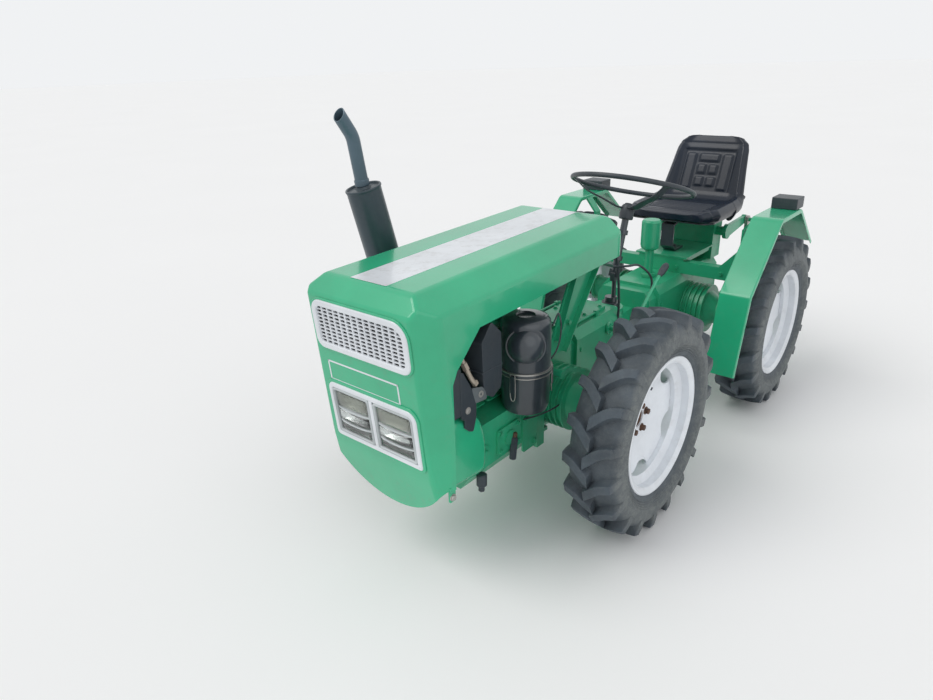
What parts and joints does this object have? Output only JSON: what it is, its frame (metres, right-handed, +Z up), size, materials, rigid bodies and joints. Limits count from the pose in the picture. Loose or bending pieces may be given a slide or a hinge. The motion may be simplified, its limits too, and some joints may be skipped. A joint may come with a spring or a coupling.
{
  "type": "small articulated tractor",
  "caption": "Compact four-wheel-drive vineyard tractor with a hinged frame, boxy nose, upright exhaust, seat over the rear half and a rear lift.",
  "frame": {"origin": "middle of the length and width, on the floor under the tyres", "axes": "+Z up, the nose points to -Y, the tractor's left side is +X"},
  "size_m": [1.0068, 2.3505, 1.2086],
  "materials": {
    "green_paint": "glossy enamel, worn",
    "white_paint": "glossy enamel, dusty",
    "black_paint": "satin",
    "muffler_paint": "satin, heat stained",
    "tyre": "dusty rubber",
    "seat_vinyl": "moulded vinyl",
    "black_rubber": "matt",
    "lamp_glass": "fluted clear glass",
    "bare_steel": "oiled and dull",
    "black_plastic": "moulded"
  },
  "bodies": {
    "front": {"engine_block": "green_paint", "fan_cowl": "green_paint", "belt_guard": "black_paint", "gearbox": "green_paint", "front_axle": "green_paint", "hood": "green_paint", "nose_shell": "green_paint", "side_panels": "green_paint", "grille": "white_paint", "lamp_frame": "white_paint", "headlamps": "lamp_glass", "muffler": "muffler_paint", "exhaust_pipe": "muffler_paint", "air_cleaner": "black_paint", "air_duct": "black_plastic", "hood_supports": "green_paint", "steering_column": "black_paint", "control_rods": "green_paint", "oil_hose": "black_rubber", "gear_lever": "black_plastic"},
    "rear": {"pivot_block": "green_paint", "rear_housing": "green_paint", "rear_axle": "green_paint", "seat_frame": "green_paint", "seat_bracket": "black_paint", "seat_pan": "black_paint", "seat": "seat_vinyl", "fender_left": "green_paint", "fender_right": "green_paint", "tail_lamps": "black_rubber", "oil_filter": "green_paint", "drawbar": "green_paint"},
    "steering_wheel": {"steering_wheel": "black_plastic"},
    "lift_arms": {"lift_arms": "green_paint"},
    "lower_links": {"lower_links": "green_paint"},
    "lift_rods": {"lift_rods": "bare_steel"},
    "wheel_front_left": {"wheel_front_left": "white_paint", "tyre_front_left": "tyre"},
    "wheel_front_right": {"wheel_front_right": "white_paint", "tyre_front_right": "tyre"},
    "wheel_rear_left": {"wheel_rear_left": "white_paint", "tyre_rear_left": "tyre"},
    "wheel_rear_right": {"wheel_rear_right": "white_paint", "tyre_rear_right": "tyre"}
  },
  "joints": [
    {"name": "steering", "type": "hinge", "parent": "front", "child": "rear", "pos_m": [0, 0.02769, 0.344], "axis": [0, 0, 1], "range_deg": [-28, 28]},
    {"name": "steering_wheel_turn", "type": "hinge", "parent": "front", "child": "steering_wheel", "pos_m": [0.05, 0.07969, 0.89], "axis": [0, 0.309, 0.9511], "range_deg": [-425, 425]},
    {"name": "lift", "type": "hinge", "parent": "rear", "child": "lift_arms", "pos_m": [0, 0.79268, 0.6], "axis": [1, 0, 0], "range_deg": [-35, 15]},
    {"name": "lower_links_swing", "type": "hinge", "parent": "rear", "child": "lower_links", "pos_m": [0, 0.79268, 0.3], "axis": [1, 0, 0], "range_deg": [-36, 16]},
    {"name": "lift_rods_swing", "type": "hinge", "parent": "lift_arms", "child": "lift_rods", "pos_m": [0, 0.99192, 0.61743], "axis": [1, 0, 0], "range_deg": [-16, 36]},
    {"name": "wheel_front_left_turn", "type": "hinge", "parent": "front", "child": "wheel_front_left", "pos_m": [0.4215, -0.48731, 0.332], "axis": [1, 0, 0], "continuous": true},
    {"name": "wheel_front_right_turn", "type": "hinge", "parent": "front", "child": "wheel_front_right", "pos_m": [-0.4215, -0.48731, 0.332], "axis": [1, 0, 0], "continuous": true},
    {"name": "wheel_rear_left_turn", "type": "hinge", "parent": "rear", "child": "wheel_rear_left", "pos_m": [0.4215, 0.54268, 0.332], "axis": [1, 0, 0], "continuous": true},
    {"name": "wheel_rear_right_turn", "type": "hinge", "parent": "rear", "child": "wheel_rear_right", "pos_m": [-0.4215, 0.54268, 0.332], "axis": [1, 0, 0], "continuous": true}
  ],
  "couplings": [
    {"joint": "steering_wheel_turn", "follows": "steering", "ratio": -15},
    {"joint": "lower_links_swing", "follows": "lift", "ratio": 1},
    {"joint": "lift_rods_swing", "follows": "lift", "ratio": -1}
  ]
}
